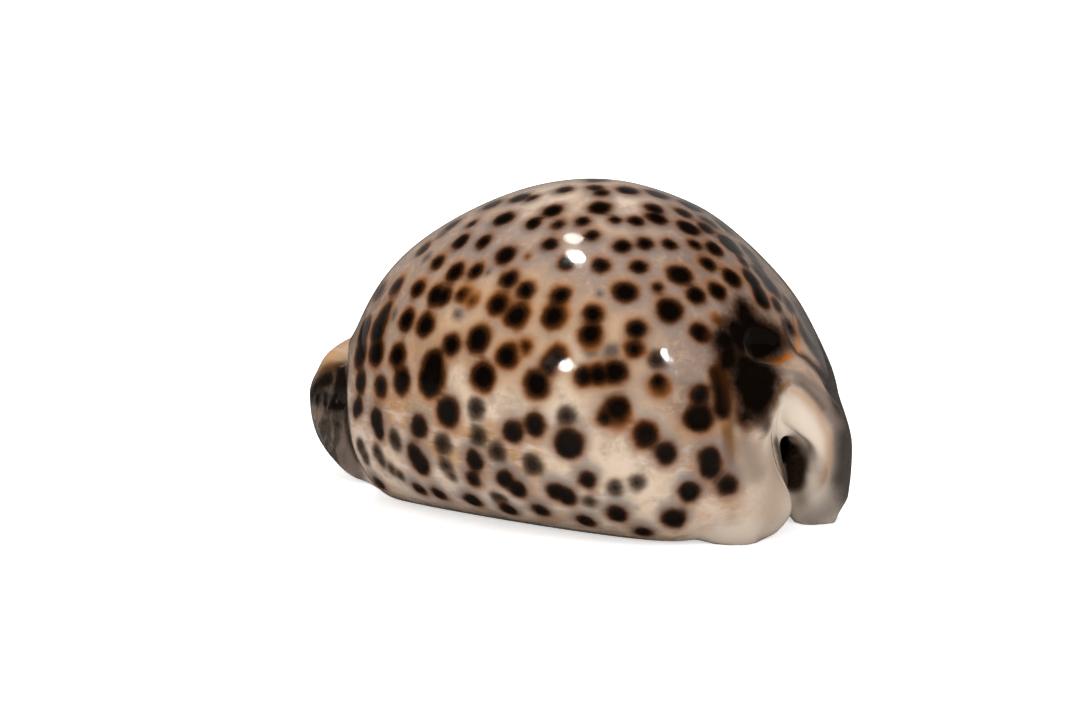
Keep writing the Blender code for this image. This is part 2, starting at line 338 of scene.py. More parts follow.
# dark ones have rusty rims, dusky ones have none, and buried ones lie deep in the enamel
marks = {
    "dark": [
        # crown
        (-48, 69.3, 1.75), (-41.6, 76.6, 1.2), (-44.5, 81, 1.1), (-10.5, 76.5, 1.7), (12, 72, 1.7),
        (-91, 80, 1.2), (-129, 73, 1.5), (-114, 74, 0.9), (-142.5, 65.5, 1.4), (-82, 69.6, 1.6),
        (-88.7, 64, 1.3), (-73, 63.8, 1.1), (-59.5, 64.5, 1.2), (-14, 66.5, 1.45),
        (-19.2, 61.5, 1.6), (-32, 61.5, 1.25), (-112, 64.8, 1.7), (-130.5, 59.3, 0.9),
        (20, 63.5, 1.9), (1, 61.6, 1.4),
        # upper dome
        (-94, 53, 1.7), (-74, 57, 1.25), (-55.4, 58.2, 1.2), (-65.2, 50.3, 1.3), (-52.5, 48, 1.25),
        (-43, 53.4, 1.45), (-34.2, 53.8, 1.35), (-39.4, 46.5, 1.3), (-24.5, 53, 1.25),
        (-110, 55.6, 1.3), (-124.3, 53.4, 1.5), (-126.5, 45.2, 1.3), (-113.9, 45.7, 1.6),
        (-104, 47.8, 1.3), (-143.4, 45.4, 1.2), (-146, 55, 1.3), (-8.2, 57.3, 1.9),
        (2.4, 55.8, 1.5), (7.3, 48.5, 2.3), (-5.3, 49, 1.5), (-26.7, 43.5, 1.8), (-14.4, 44.5, 1.4),
        (-7.7, 40.7, 1.7), (-45.9, 40.8, 1.7), (-35.7, 40.1, 0.75), (-34.3, 34, 2.0),
        (-24.7, 37.2, 1.5), (-16.6, 37.3, 1.5), (1.5, 39.4, 1.6), (0.3, 36.2, 1.3),
        (-0.3, 33.5, 1.7), (6.5, 31, 1.2),
        # middle
        (-139, 35.3, 1.4), (-126.4, 36.8, 1.4), (-116, 37.4, 1.6), (-112.8, 37.6, 1.5),
        (-124.2, 28.9, 1.6), (-115.2, 29.2, 1.7), (-149, 29.8, 1.5), (-87, 45.9, 1.45),
        (-79.2, 42.5, 1.35), (-88.3, 38.7, 1.5), (-80, 36.1, 1.75), (-66.2, 41.2, 1.4),
        (-67.3, 35.6, 1.6), (-55.5, 35.7, 1.4), (-56.6, 29.9, 1.6), (-44, 30, 1.45),
        (-27.2, 28.3, 1.5), (-92.2, 29.5, 1.95), (-102.3, 26.5, 1.5), (-80.7, 25, 1.6),
        (-65.6, 25.3, 1.2), (-137, 27.5, 1.4), (-136, 22.7, 2.0), (-145, 21, 2.1),
        (-133.2, 18.7, 2.0), (-123.2, 20.2, 1.7), (-57.9, 19.5, 1.2), (-54.5, 20.4, 1.35),
        (-50.5, 21, 1.75), (-88.3, 18.9, 2.0), (-71, 18.7, 1.95), (-68, 22.3, 1.1),
        (-107.7, 19.8, 2.1), (-107.8, 17.8, 2.35), (-108, 15.8, 2.2), (-25.6, 18.5, 1.3),
        (-25.8, 14.5, 1.35), (-26, 10.5, 1.35),
        # flank, and a few small ones between the others
        (-100, 8.2, 2.2), (-111.3, 3.2, 1.8), (-119.5, 13.5, 1.85), (-128.5, 9.6, 1.55),
        (-129.2, 0.9, 1.6), (-128, -1.6, 1.2), (-138.5, 2.3, 1.3), (-78, 5.7, 1.6),
        (-71.5, 7.4, 1.65), (-62, 3.5, 2.3), (-50, 11.7, 1.75), (-53, 10.5, 1.0), (-42, 64.2, 0.8),
        (-12.9, 50.8, 1.2), (-75.2, 27.8, 0.55), (-105.4, 40.4, 0.8), (-40.5, 18, 1.0),
        (-45.6, 26, 1.0), (-43.7, 6.4, 1.75), (-39.8, 1.6, 1.75), (-31.8, 8.9, 2.15),
        (-31.2, 14.3, 1.5), (-29.8, 0.8, 1.6), (-29.5, -2.2, 1.6), (-34, -6.8, 1.6),
        (-25.3, -5.8, 1.6), (-36.5, -13.9, 1.75), (-57.2, -4.9, 1.3), (-49.6, -13.6, 1.6),
        (-66, -9.5, 1.45), (-62.5, -11.5, 1.45), (-80.5, -8, 1.5), (-77, -10.5, 1.5),
        (-91, -4.1, 1.6), (-92.4, -10.5, 1.35), (-113.6, -6.2, 1.6), (-112, -9, 1.7),
        (-57.2, -19.2, 1.5), (-70.9, -17.8, 1.3), (-83, -20.5, 1.5), (-96.8, -18.5, 1.5),
        (-110.6, -17.9, 1.35), (-118, -18.5, 1.2), (-136.6, -17, 1.2), (-42.6, -19.3, 1.3),
        (-142.5, 15.5, 2.1), (-139, 9, 1.7), (-136, 29.5, 0.6), (-134.5, 26.5, 0.6), (-140, 1, 0.9),
        (-25.7, 16.5, 1.15), (-25.9, 12.5, 1.2), (4.5, 43.5, 1.0),
    ],
    "rust": [
        (-104.0, 40.2, 1.15), (-99.3, 38.9, 1.05), (-45.4, 25.5, 1.3), (-75.2, 27.6, 0.95),
        (-40.2, 16.8, 1.4), (-21.4, 30.2, 0.7), (-82.6, 53, 0.5), (-80, 36, 2.0),
        (-66.8, 34.8, 1.9), (-88.3, 38.4, 1.8), (-65.2, 25, 1.5), (-54.5, 20.3, 1.5),
        (-56.4, 28.6, 1.5), (-80.9, 24.6, 1.8), (-50, 11.2, 1.9), (-43.9, 6, 1.9),
    ],
    "dusky": [
        (11.2, 35.5, 2.4), (10.5, 40.2, 1.5), (15.5, 41, 1.5), (19, 45, 1.8), (24, 54, 1.9),
        (11, 57, 1.6), (30, 62, 1.7), (16, 30, 1.6), (-137, 34, 1.2), (-62.8, 11.2, 1.6),
        (-90.3, 9.8, 1.7), (-89.6, 3.0, 1.5), (-102.6, -0.6, 1.7), (-83, 0, 1.6),
        (-72.2, -2.5, 1.7), (-50.6, -6.8, 1.3), (-45.3, -6, 1.25), (-121.8, -2, 1.4),
        (-120.6, -4.2, 1.2), (-130, -7, 1.3), (-128.3, -9.8, 1.1), (-102, -8, 1.3),
        (-100.6, -10, 1.0), (-137.6, -7, 1.3), (-136.4, -10, 1.1), (-125.7, -11, 1.1),
        (-123.3, -13.3, 1.0), (-84.7, -15.8, 1.3), (-40, 22.6, 1.4), (-57, -12, 1.1),
    ],
    "buried": [
        (-53.7, 40.7, 0.45), (-97.9, 46.7, 0.6), (-102.9, 34.1, 0.9), (-135.5, 44.5, 0.8),
        (-143, 52.3, 1.3), (-131, 29, 0.6), (-56.3, 26, 1.2), (-51, 25.8, 1.2), (-146, 30, 1.0),
        (-17.5, 8, 1.3), (-16, 5.5, 0.9),
    ],
    # the smudge that spreads over the spire pit and down beside the canal
    "smudge": [
        (-4.5, 24.2, 2.5), (-1.5, 23.3, 1.8), (-8, 23, 2.0), (-9.5, 32.5, 1.1), (-10.5, 30.5, 1.3),
        (-10.3, 28.2, 1.4), (-9, 26, 1.6), (-15.7, 28, 1.7), (-20.3, 25.5, 1.6), (-15.5, 24.5, 1.3),
        (-17.5, 19.5, 1.4), (-14, 18, 1.7), (-17.7, 17, 1.8), (-20.3, 15.6, 1.2), (-15.8, 15, 1.7),
        (-18.3, 13.3, 1.8), (-16.2, 12.6, 1.3), (-20, 11.2, 1.2), (-18.3, 10, 1.1),
        (-21.3, 8.6, 0.8), (-11.3, 18.4, 1.0), (-13, 15.5, 0.8), (-22.5, 21, 0.9),
        (-20.5, 22.3, 1.0), (7.3, 25.5, 1.0),
    ],
}

spread = {
    "seed": 21,
    "farSide": (-0.53, 0.83, -0.19),   # marks beyond the placed ones are strewn on this side
    "hidden": 0.02,                    # how far a surface has to face that way
    "tries": 9000,
    "radius": (1.0, 2.3),
    "smallShare": 0.25,                # share of small marks, and their size beside the others
    "smallSize": 0.6,
    "gap": (0.6, 1.5),
    "lowest": -21,                     # height angle where the marks stop
    "buriedShare": 0.16,
    "rustShare": 0.07,
}

rims = {
    "heights": (8, 38),                # rims hang below their marks up to here, then stand above
    "crownCalm": 0.25,                 # how soon the shift fades on the flat of the crown
}


def compass(points):
    # bearing and height angle of points, in degrees
    d = points - compassPoint
    return (np.degrees(np.arctan2(d[..., 1], d[..., 0])),
            np.degrees(np.arctan2(d[..., 2], np.hypot(d[..., 0], d[..., 1]))))


outsideCount = int(np.searchsorted(shellRows, ringSpans["outside"]))
outsidePoints = shellPoints[:outsideCount].reshape(-1, 3)
outsideNormals = shellNormals[:outsideCount].reshape(-1, 3)
outsideRays = outsidePoints - compassPoint
outsideRays /= np.linalg.norm(outsideRays, axis=1, keepdims=True)


def compassRay(bearing, height):
    b, h = radians(bearing), radians(height)
    return np.array([cos(b) * cos(h), sin(b) * cos(h), sin(h)])


def surfaceAt(bearing, height):
    # index of the outside point that lies that way from the compass point
    return int(np.argmax(outsideRays @ compassRay(bearing, height)))


def placedMarks():
    found = []
    for kind, places in marks.items():
        for bearing, height, radius in places:
            found.append((kind, surfaceAt(bearing, height), radius))
    return found


def strewnMarks(taken):
    rng = np.random.default_rng(spread["seed"])
    centres = [outsidePoints[index] for _, index, _ in taken]
    radii = [radius for _, _, radius in taken]
    farSide = np.array(spread["farSide"])
    found = []
    for _ in range(spread["tries"]):
        bearing = rng.uniform(-180, 180)
        height = np.degrees(np.arcsin(rng.uniform(sin(radians(spread["lowest"])), 1)))
        radius = rng.uniform(*spread["radius"])
        if rng.random() <= spread["smallShare"]:
            radius *= spread["smallSize"]
        gap = rng.uniform(*spread["gap"])
        pick = rng.random()
        index = surfaceAt(bearing, height)
        if outsideNormals[index] @ farSide < spread["hidden"]:
            continue
        away = np.linalg.norm(np.array(centres) - outsidePoints[index], axis=1) - np.array(radii)
        if away.min() < radius + gap:
            continue
        kind = "dark"
        if pick < spread["buriedShare"]:
            kind = "buried"
        elif pick > 1 - spread["rustShare"]:
            kind = "rust"
        centres.append(outsidePoints[index])
        radii.append(radius)
        found.append((kind, index, radius))
    return found


def markField(places, points, shift=0.0, grow=0.0, blend=0.3, reach=5.0):
    # smooth union of the discs' distances, in mm: below zero inside a mark
    field = np.full(len(points), np.exp(-reach / blend))
    for _, index, radius in places:
        centre, normal = outsidePoints[index], outsideNormals[index]
        up = np.array([0, 0, 1]) - normal * normal[2]
        up = up / (np.linalg.norm(up) + rims["crownCalm"])
        lean = 2 * smoothStep(*rims["heights"], compass(centre)[1]) - 1
        centre = centre + up * lean * shift
        near = np.nonzero(np.abs(points - centre).max(axis=1) < radius + grow + reach)[0]
        away = np.linalg.norm(points[near] - centre, axis=1) - (radius + grow)
        field[near] += np.exp(-away / blend)
    return -blend * np.log(field)


allMarks = placedMarks()
handPlaced = len(allMarks)
allMarks += strewnMarks(allMarks)
print("marks:", handPlaced, "placed and", len(allMarks) - handPlaced, "strewn on the far side")

# soft patches of ground colour: bearing, height angle, reach in mm
patches = {
    "cream": [(-98, 17.5, 3.2), (-84, 13, 3.5), (-73, 13, 4), (-62, 25, 4), (-50, 1, 10.5),
              (-58, -6, 10), (-66, 12, 7), (-42, -12, 8), (-92, 12, 5)],
    # pale patches: the low ones are a paler ground, partly painted light where the lamps leave the lower
    # flank dim; the three high on the crown are painted light that brightens the top
    "pale": [(-122, -14, 9), (-105, -17, 7), (-138, -10, 7), (-82, -19, 6), (-16, -8, 6.5),
             (-30, -14, 4.5), (-100, 75, 8), (-35, 70, 7), (90, 80, 9)],
    "lavender": [(-38, 40, 12), (-30, 25, 9), (-70, 52, 13), (-110, 50, 12), (-130, 40, 12),
                 (-55, 26, 7), (0, 50, 14), (-140, 18, 11), (-128, 6, 8), (-150, 4, 8)],
    "dusk": [(-14, 44, 8), (-4, 38, 8), (-20, 12, 6), (-22, 22, 6), (8, 46, 11), (18, 55, 10),
             (18, 40, 12), (-140, 28, 6), (-33, 12, 5)],
    "amber": [(-105, 2, 9), (-88, 0, 8), (-122, 2, 8), (-78, -3, 8), (-68, -2, 6), (-33, 2, 8),
              (-27, -3, 8), (-112, 25, 6), (-95, 24, 5)],
    "warm": [(-28, 5, 6), (-85, 32, 13), (-105, 34, 9), (-70, 26, 10), (-100, 5, 11), (-60, 68, 10),
             (-48, 28, 7)],
}


def patchField(places, points):
    field = np.zeros(len(points))
    for bearing, height, reach in places:
        away = np.linalg.norm(points - outsidePoints[surfaceAt(bearing, height)], axis=1)
        field = np.maximum(field, np.exp(-(away / reach) ** 2))
    return field


# Strokes of colour on the two ends: path, reach, strength and colour. A crisp stroke has a
# harder edge than the usual 2.
paintSoftness = 0.62
paint = [
    # dark limb beyond the pit
    dict(path=[(33.8, 13.5, 31), (36.2, 12.9, 27.7), (38.1, 11.9, 25.8), (40.9, 9.5, 23.5),
               (43, 9, 19)],
         reach=4.2, cover=0.95, colour=(0.040, 0.030, 0.026)),
    dict(path=[(36.2, 8.5, 29.5), (39, 7.5, 26), (42, 6.8, 22.5), (44.5, 6.3, 18.5)],
         reach=3.6, cover=0.95, colour=(0.028, 0.020, 0.018)),
    # far lobe of the posterior canal: grey, with a dark band beside the rim
    dict(path=[(45, 8, 5), (45.5, 8, 12), (45, 8, 17), (43, 8, 21)],
         reach=6.5, cover=0.95, colour=(0.074, 0.060, 0.053)),
    dict(path=[(43, 5, 2.5), (42, 3.6, 1)], reach=4.0, cover=0.85, colour=(0.29, 0.245, 0.21)),
    dict(path=[(44.9, 5.8, 7.5), (45.1, 5.6, 13.5)],
         reach=2.6, cover=0.95, colour=(0.018, 0.014, 0.013)),
    dict(path=[(45, 5.2, 13), (44.9, 4.6, 16.5), (44.2, 1.8, 19)],
         reach=1.2, cover=0.7, colour=(0.06, 0.045, 0.04)),
    # collar over the canal
    dict(path=[(40, -7.5, 26), (42, -5.5, 25), (43.3, -2, 23.4), (44.3, 1.7, 20.2), (44.9, 4.5, 17)],
         reach=3.0, cover=0.85, colour=(0.23, 0.17, 0.14)),
    dict(path=[(36.8, 3.2, 30.5), (38.3, 2, 28), (41.8, 3.1, 24.8), (43.2, 4.9, 21.6), (45, 5.6, 17.7)],
         reach=2.1, cover=0.85, colour=(0.045, 0.032, 0.028)),
    dict(path=[(43.1, -6.4, 24), (43.4, -2.7, 22.8), (44, 0.4, 20.2), (44.3, 2, 18.5)],
         reach=0.9, cover=0.75, colour=(0.06, 0.035, 0.025)),
    # creamy wall of the canal, edged by a thin tan line, with painted light: a paler cream on the recess
    # where the wall lies in shade
    dict(path=[(42.2, -11.3, 21.8), (41.9, -11.2, 19)],
         reach=2.6, cover=0.75, colour=(0.075, 0.048, 0.035)),
    dict(path=[(43, -8.2, 22), (42.7, -9, 20), (42.4, -9.2, 18), (41.5, -8, 16.5)],
         reach=1.4, cover=1, colour=(0.80, 0.68, 0.56)),
    dict(path=[(43, -7, 21.5), (42, -1, 17), (43, 1.5, 14), (41.5, 4, 9.5), (40.5, 4, 5.5)],
         reach=4.0, cover=1, colour=(0.80, 0.68, 0.57)),
    dict(path=[(42.8, -7.9, 23.4), (43.1, -2.6, 21.4), (43.9, 1.1, 18.2), (44.4, 3.5, 14.2),
               (44.1, 4.4, 10.3), (43, 4.5, 7)],
         reach=1.2, cover=0.5, colour=(0.52, 0.30, 0.16)),
    # painted light: paler cream that lifts the shade in the canal's recess
    dict(path=[(41.2, -4, 19), (40.3, -1.6, 17), (39.5, 0.2, 15.2)],
         reach=2.6, cover=1, colour=(0.90, 0.79, 0.68)),
    dict(path=[(43.1, -6.6, 23.7), (42.9, -8, 23.4), (42.7, -9, 22.4), (42.4, -9.6, 20.5)],
         reach=1.1, cover=0.75, colour=(0.36, 0.19, 0.09)),
    # hole at the canal's inner end: painted shade, dark brown where the opening lies in shadow, browner
    # at its rim and lighter below
    dict(path=[(38.5, 1.5, 14), (39.9, 4.6, 11.2), (40.4, 4.6, 8.5)],
         reach=1.2, cover=0.75, colour=(0.17, 0.10, 0.055)),
    dict(path=[(39.3, 3.7, 6.1), (40.3, 3, 3.9)], reach=2.4, cover=0.8, colour=(0.24, 0.18, 0.14)),
    # painted shade: the near-black of the hole's opening
    dict(path=[(35, 6.8, 10), (37.5, 4, 11), (38.3, 4.4, 9.2), (38.6, 3.8, 6.6)],
         reach=3.3, crisp=6, cover=1, colour=(0.016, 0.008, 0.004)),
    dict(path=[(38.9, 4.3, 9.3), (38.9, 3.9, 7.3)],
         reach=1.9, crisp=4, cover=0.95, colour=(0.022, 0.013, 0.008)),
    dict(path=[(39.7, -3.9, 14), (40.4, -3.1, 10.9), (41.2, -3, 7)],
         reach=1.7, cover=1, colour=(0.03, 0.016, 0.009)),
    dict(path=[(40.4, -3.7, 11.4), (41.1, -3.4, 9.2), (41.3, -3, 7)],
         reach=0.9, cover=0.8, colour=(0.05, 0.03, 0.02)),
    # near lobe, with a brown streak and a few stains
    dict(path=[(40.5, -14, 12), (42, -9, 12), (43, -11, 6)],
         reach=6.5, cover=0.85, colour=(0.46, 0.345, 0.26)),
    dict(path=[(40.5, -14.6, 16), (41.5, -13, 11.5)],
         reach=2.8, cover=0.65, colour=(0.25, 0.19, 0.145)),
    dict(path=[(39, -17, 19), (39, -17, 16), (39, -16.6, 12.3)],
         reach=2.2, cover=0.95, colour=(0.17, 0.074, 0.024)),
    dict(path=[(39.3, -15.2, 21.7), (39.9, -15.2, 19.7), (40.5, -14.6, 18.4)],
         reach=1.6, cover=0.7, colour=(0.15, 0.06, 0.02)),
    dict(path=[(35.8, -18.8, 5.4)], reach=2.2, cover=0.6, colour=(0.55, 0.30, 0.17)),
    dict(path=[(39, -15.5, 5)], reach=2.4, cover=0.5, colour=(0.36, 0.26, 0.17)),
    # spire pit: a bright orange crescent below it, painted partly as the pit's own orange and partly as
    # light glinting in the pit, and a streak beside it
    dict(path=[(38, -4.5, 26.0), (38.5, -0.5, 25.8), (39, 0.6, 26.1)],
         reach=1.1, cover=1, colour=(0.62, 0.19, 0.03)),
    dict(path=[(35.7, 8.4, 30.7), (38, 5, 28.4), (39.4, 3, 26.6)],
         reach=0.85, cover=0.85, colour=(0.50, 0.21, 0.08)),
    # anterior beak: streaky grey below, black above, tan along the top
    dict(path=[(-39, -9.5, 7.5), (-37, -9.5, 4.5), (-43, -7, 6), (-43, 5, 6)],
         reach=6.5, cover=1, colour=(0.115, 0.088, 0.072)),
    dict(path=[(-38, -6.3, 18.2), (-41, -6, 16.8), (-44, -5.5, 14.6)],
         reach=1.9, cover=0.85, colour=(0.20, 0.085, 0.03)),
    dict(path=[(-40, -7.2, 15.5), (-42.5, -7.2, 12.8), (-40, -8.2, 12.4), (-37.2, -8.2, 12),
               (-37.5, -6.8, 16.6)],
         reach=3.8, cover=1, colour=(0.008, 0.005, 0.004)),
    dict(path=[(-44.5, -6, 13), (-44.5, -6, 9)],
         reach=3.2, cover=0.9, colour=(0.008, 0.005, 0.004)),
    dict(path=[(-38.5, -5, 20.5), (-41, -5, 18.8), (-43, -5, 17), (-44.5, -5, 14.8)],
         reach=1.8, cover=0.8, colour=(0.52, 0.30, 0.15)),
    dict(path=[(-38.5, 0, 20), (-42, 0, 18.3), (-45, 0, 15.5)],
         reach=5, cover=0.9, colour=(0.50, 0.29, 0.15)),
    dict(path=[(-36.9, -8.9, 8.7)], reach=1.2, cover=0.8, colour=(0.03, 0.022, 0.018)),
    dict(path=[(-35.3, -9.3, 6), (-34, -9.5, 3.5), (-32.4, -9.6, 1.3)],
         reach=3.6, cover=0.85, colour=(0.185, 0.14, 0.112)),
    dict(path=[(-36.5, -7.5, 16), (-35.5, -8.6, 9.7), (-34, -9.4, 6), (-32.3, -9.8, 3.6)],
         reach=1.0, cover=0.9, colour=(0.01, 0.006, 0.004)),
]


def paintLayer(points):
    colour = np.zeros((len(points), 3))
    cover = np.zeros(len(points))
    for stroke in paint:
        away = distanceToPath(points, stroke["path"])
        fade = (away / (paintSoftness * stroke["reach"])) ** stroke.get("crisp", 2)
        alpha = np.exp(-fade) * stroke["cover"]
        colour = colour * (1 - alpha[:, None]) + np.array(stroke["colour"]) * alpha[:, None]
        cover = cover * (1 - alpha) + alpha
    colour /= np.maximum(cover, 1e-4)[:, None]
    return colour, cover


def attribute(mesh, name, values):
    layer = mesh.attributes.new(name, "FLOAT", "POINT")
    layer.data.foreach_set("value", values.astype(np.float32))


def colourAttribute(mesh, name, values):
    layer = mesh.attributes.new(name, "FLOAT_COLOR", "POINT")
    rgba = np.concatenate([values, np.ones((len(values), 1))], axis=1)
    layer.data.foreach_set("color", rgba.astype(np.float32).ravel())


# distances to the marks of some kinds, as mesh attributes: kinds, shift, grow and blend in mm
markLayers = {
    "darkAway": dict(kinds=["dark"]),
    "rimAway": dict(kinds=["dark", "rust"], shift=0.45, grow=0.15),
    "hazeAway": dict(kinds=["dark", "rust"], shift=-0.8, grow=0.35),
    "rustAway": dict(kinds=["rust"]),
    "buriedAway": dict(kinds=["buried"], grow=0.3),
    "duskyAway": dict(kinds=["dusky"], grow=0.1),
    "smudgeAway": dict(kinds=["smudge"], blend=0.8),
}

# where the zones start and end: height angles, bearings, and millimetres for the beak
zones = {
    "rustyHeights": (-2, 14, 42, 56),
    "rustyBearings": (-35, -62),
    "rustyLeast": 0.45,
    "beakX": (-34, -37),
    "beakZ": (15, 11),
    "lowHeights": (2, 22),
}


def markShell(mesh, row, column):
    points, rings = shellPoints[row, column], shellRows[row]
    for name, layer in markLayers.items():
        options = {key: value for key, value in layer.items() if key != "kinds"}
        chosen = [mark for kind in layer["kinds"] for mark in allMarks if mark[0] == kind]
        outside = rings < ringSpans["marks"]
        field = np.full(len(points), 9.0)
        field[outside] = markField(chosen, points[outside], **options)
        attribute(mesh, name, field)
    for name, patch in patches.items():
        attribute(mesh, name, patchField(patch, points))


def zoneShell(mesh, row, column):
    points, rings = shellPoints[row, column], shellRows[row]
    bearing, height = compass(points)
    z = zones
    rusty = smoothStep(*z["rustyHeights"][:2], height) * (1 - smoothStep(*z["rustyHeights"][2:], height))
    side = smoothStep(*z["rustyBearings"], bearing)
    attribute(mesh, "rusty", rusty * (z["rustyLeast"] + (1 - z["rustyLeast"]) * side))
    attribute(mesh, "beak", smoothStep(*z["beakX"], points[:, 0]) * smoothStep(*z["beakZ"], points[:, 2]))
    attribute(mesh, "low", 1 - smoothStep(*z["lowHeights"], height))
    for name in ("base", "inside", "sheltered"):
        attribute(mesh, name, smoothStep(*ringSpans[name], rings))
    colour, cover = paintLayer(points)
    colourAttribute(mesh, "paint", colour)
    attribute(mesh, "paintCover", cover * (1 - smoothStep(*ringSpans["paint"], rings)))


shellFinish = {
    "peach": (0.47, 0.325, 0.232),
    "tan": (0.41, 0.265, 0.17),
    "warm": (0.57, 0.38, 0.235),
    "cream": (0.70, 0.56, 0.42),
    # pale: a paler ground, also used as painted light on the crown and the low flank
    "pale": (0.63, 0.50, 0.40),
    "dusk": (0.18, 0.108, 0.078),
    "amber": (0.41, 0.222, 0.105),
    "lavender": (0.295, 0.220, 0.185),
    "base": (0.68, 0.57, 0.47),
    # painted shade: the dark of the hollow inside the shell
    "inside": (0.16, 0.11, 0.08),
    "core": (0.003, 0.0018, 0.0012),
    "halo": (0.052, 0.016, 0.004),
    "rim": (0.38, 0.140, 0.038),
    "haze": (0.215, 0.185, 0.172),
    "shade": (0.115, 0.076, 0.060),
    "buried": (0.085, 0.062, 0.052),
    "dusky": (0.070, 0.033, 0.017),
    "duskyCore": (0.010, 0.006, 0.004),
    "film": (0.15, 0.105, 0.08),
    "rust": (0.050, 0.018, 0.005),
    "ember": (0.190, 0.062, 0.012),
    "stain": (0.44, 0.245, 0.115),
    "streak": (0.17, 0.135, 0.112),
    "line": (0.72, 0.59, 0.49),
    "roughness": (0.07, 0.13),
    "specular": 0.42,
    "coat": 0.6,
    "coatRoughness": 0.04,
    "smudgeDullness": 0.8,    # how much of the coat the smudge takes away
    "ior": 1.52,
    "bumpStrength": 0.6,
    "bumpDepth": 0.35,        # in mm
    "speckleDepth": 0.012,    # beside the slow swell
}

# noise patterns in the enamel: scale per mm, detail, roughness, distortion
enamelNoise = {
    "clouds": (0.09, 3.0, 0.55, 0.4),
    "mottle": (0.28, 3.0, 0.6, 0.3),
    "grain": (1.3, 3.0, 0.6, 0.0),
    "speckle": (3.2, 2.0, 0.6, 0.0),
    "flush": (0.5, 3.0, 0.6, 0.5),
    "wobble": (0.4, 1.0, 0.4, 0.0),
    "swell": (0.16, 2.0, 0.5, 0.0),
    "growthLines": (1.0, 4.0, 0.65, 0.3),
    "streaks": (1.0, 3.0, 0.6, 0.6),
}
enamelStretch = {
    "growthLines": (0.10, 0.35, 0.55),
    "streaks": (0.75, 0.75, 0.25),
}

# where each layer of the ground starts, where it is full, and how much it covers
groundCover = {
    "clouds": (0.36, 0.64, 1.0),
    "patches": (0.25, 0.85, 0.9),
    "veil": (0.44, 0.64, 0.55),
    "grain": (0.42, 0.75, 0.25),
    "flush": (0.5, 0.68, 0.5),
    "growthLines": (0.45, 0.62, 0.5),
    "base": (0.3, 0.8, 1.0),
    "streaks": (0.42, 0.62, 1.0),
    "paint": (0.05, 0.95, 1.0),
}

# how far noise moves the layers' edges to and fro
edgeSway = {
    "patches": 0.9,
    "base": 0.8,
    "paint": 0.24,
    "marks": 0.9,
    "fine": 0.22,
    "fuzz": 0.6,
}

# Layers of the marks from the bottom up: attribute, where the soft edge is full and where it ends
# in mm, strength, colour, the share that zones leave of it, and what shifts its edge.
markTints = [
    ("rimAway", (0.2, 2.6), 0.42, "stain", "rusty", "none"),
    ("hazeAway", (-0.4, 1.9), 0.8, "haze", "lessRusty", "none"),
    ("buriedAway", (-1.0, 0.7), 0.9, "buried", "all", "none"),
    ("duskyAway", (-0.6, 0.9), 0.85, "dusky", "all", "none"),
    ("duskyAway", (-1.4, 0.45), 0.92, "duskyCore", "all", "none"),
    ("darkAway", (-0.1, 1.7), 0.5, "shade", "plain", "none"),
    ("rimAway", (-0.2, 1.2), 0.9, "rim", "moreRusty", "none"),
    ("rustAway", (-0.3, 0.9), 0.92, "ember", "all", "none"),
    ("rustAway", (-1.1, 0.3), 0.95, "rust", "all", "none"),
    ("darkAway", (-0.4, 0.75), 0.95, "halo", "all", "wide"),
    ("darkAway", (-0.8, 0.42), 1.0, "core", "all", "none"),
    ("hazeAway", (-2.2, 0.4), 0.03, "film", "low", "none"),
    ("smudgeAway", (-0.3, 2.2), 0.8, "halo", "all", "fuzz"),
    ("smudgeAway", (-1.1, 0.8), 0.99, "core", "all", "fuzz"),
]


nodeSpacing = (12, 190, 230)   # nodes in a row, and the steps across and down


